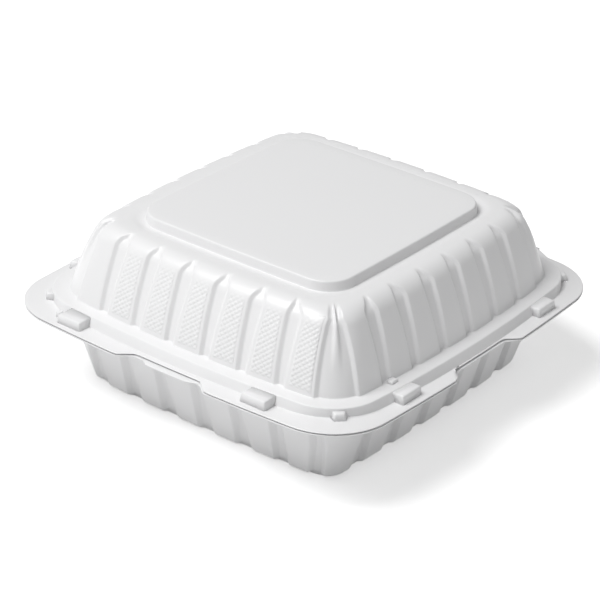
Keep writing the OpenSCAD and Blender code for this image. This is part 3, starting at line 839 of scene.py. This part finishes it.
plastic = white_plastic("white_plastic")
for piece in [lid_sheet, lid_diamonds, tub_sheet, hinge_web] + blocks:
    piece.data.materials.append(plastic)
print("materials:", [m.name for m in bpy.data.materials])

# %% [markdown]
# ## Floor, light and camera
# The photograph is a studio shot on white: a large soft light from the front left, the right side
# in half shade and a soft shadow on the floor. Light Path lets the floor glow for camera and
# glossy rays alone, so it shows white, also in reflections, and casts no diffuse light.

# %% Floor
FLOOR_HALF, FLOOR_GLOW = 6, 0.42
PAPER, PAPER_ROUGH = (0.94, 0.94, 0.94, 1), 0.9
bm = bmesh.new()
bmesh.ops.create_grid(bm, x_segments=1, y_segments=1, size=FLOOR_HALF)
floor = finish_mesh(bm, "floor")
paper = bpy.data.materials.new("paper")
paper.use_nodes = True
nodes, links = paper.node_tree.nodes, paper.node_tree.links
shader = nodes["Principled BSDF"]
shader.inputs["Base Color"].default_value = PAPER
shader.inputs["Roughness"].default_value = PAPER_ROUGH
shader.inputs["Specular IOR Level"].default_value = 0
glow = nodes.new("ShaderNodeEmission")
ray = nodes.new("ShaderNodeLightPath")
seen = nodes.new("ShaderNodeMath")
seen.operation = "MAXIMUM"
links.new(ray.outputs["Is Camera Ray"], seen.inputs[0])
links.new(ray.outputs["Is Glossy Ray"], seen.inputs[1])
strength = nodes.new("ShaderNodeMath")
strength.operation = "MULTIPLY"
strength.inputs[1].default_value = FLOOR_GLOW
links.new(seen.outputs[0], strength.inputs[0])
links.new(strength.outputs[0], glow.inputs["Strength"])
both = nodes.new("ShaderNodeAddShader")
links.new(shader.outputs["BSDF"], both.inputs[0])
links.new(glow.outputs["Emission"], both.inputs[1])
links.new(both.outputs["Shader"], nodes["Material Output"].inputs["Surface"])
floor.data.materials.append(paper)

# %% World and lamp
WORLD_LIGHT, WORLD_SEEN = 0.32, 1
KEY_PLACE, KEY_AIM, KEY_SIZE, KEY_POWER = (-0.5, -0.82, 1.8), (0, 0, 0.03), 1.2, 33
world = bpy.data.worlds.new("studio")
bpy.context.scene.world = world
world.use_nodes = True
nodes, links = world.node_tree.nodes, world.node_tree.links
around = nodes["Background"]
around.inputs["Color"].default_value = (1, 1, 1, 1)
ray = nodes.new("ShaderNodeLightPath")
level_of_light = nodes.new("ShaderNodeMapRange")
level_of_light.inputs["To Min"].default_value = WORLD_LIGHT
level_of_light.inputs["To Max"].default_value = WORLD_SEEN
links.new(ray.outputs["Is Camera Ray"], level_of_light.inputs["Value"])
links.new(level_of_light.outputs["Result"], around.inputs["Strength"])


def softbox(name, place, size, power):
    lamp = bpy.data.lights.new(name, "AREA")
    lamp.shape = "SQUARE"
    lamp.size = size
    lamp.energy = power
    holder = bpy.data.objects.new(name, lamp)
    bpy.context.scene.collection.objects.link(holder)
    holder.location = place
    aim = Vector(KEY_AIM) - Vector(place)
    holder.rotation_euler = aim.to_track_quat("-Z", "Y").to_euler()


softbox("key", KEY_PLACE, KEY_SIZE, KEY_POWER)

# %% Camera
CAMERA_PLACE = (587.8, -784.7, LID_Z + 505.5)
CAMERA_AZIMUTH, CAMERA_ELEVATION, CAMERA_ROLL = 37.095, 27.58, 2.201
CAMERA_LENS, CAMERA_SENSOR = 142.31, 36
azimuth, elevation, roll = (math.radians(a) for a in (CAMERA_AZIMUTH, CAMERA_ELEVATION, CAMERA_ROLL))
back = Vector((math.sin(azimuth) * math.cos(elevation), -math.cos(azimuth) * math.cos(elevation),
               math.sin(elevation)))
right = Vector((math.cos(azimuth), math.sin(azimuth), 0))
up = back.cross(right)
turned_right = math.cos(roll) * right + math.sin(roll) * up
turned_up = math.cos(roll) * up - math.sin(roll) * right
camera_data = bpy.data.cameras.new("camera")
camera_data.lens = CAMERA_LENS
camera_data.sensor_width = CAMERA_SENSOR
camera = bpy.data.objects.new("camera", camera_data)
bpy.context.scene.collection.objects.link(camera)
turn = Matrix((turned_right, turned_up, back)).transposed().to_4x4()
camera.matrix_world = Matrix.Translation(Vector(CAMERA_PLACE) * MM) @ turn
bpy.context.scene.camera = camera
bpy.context.scene.view_settings.view_transform = "Standard"
print("camera at", CAMERA_PLACE, "with a lens of", CAMERA_LENS, "mm")
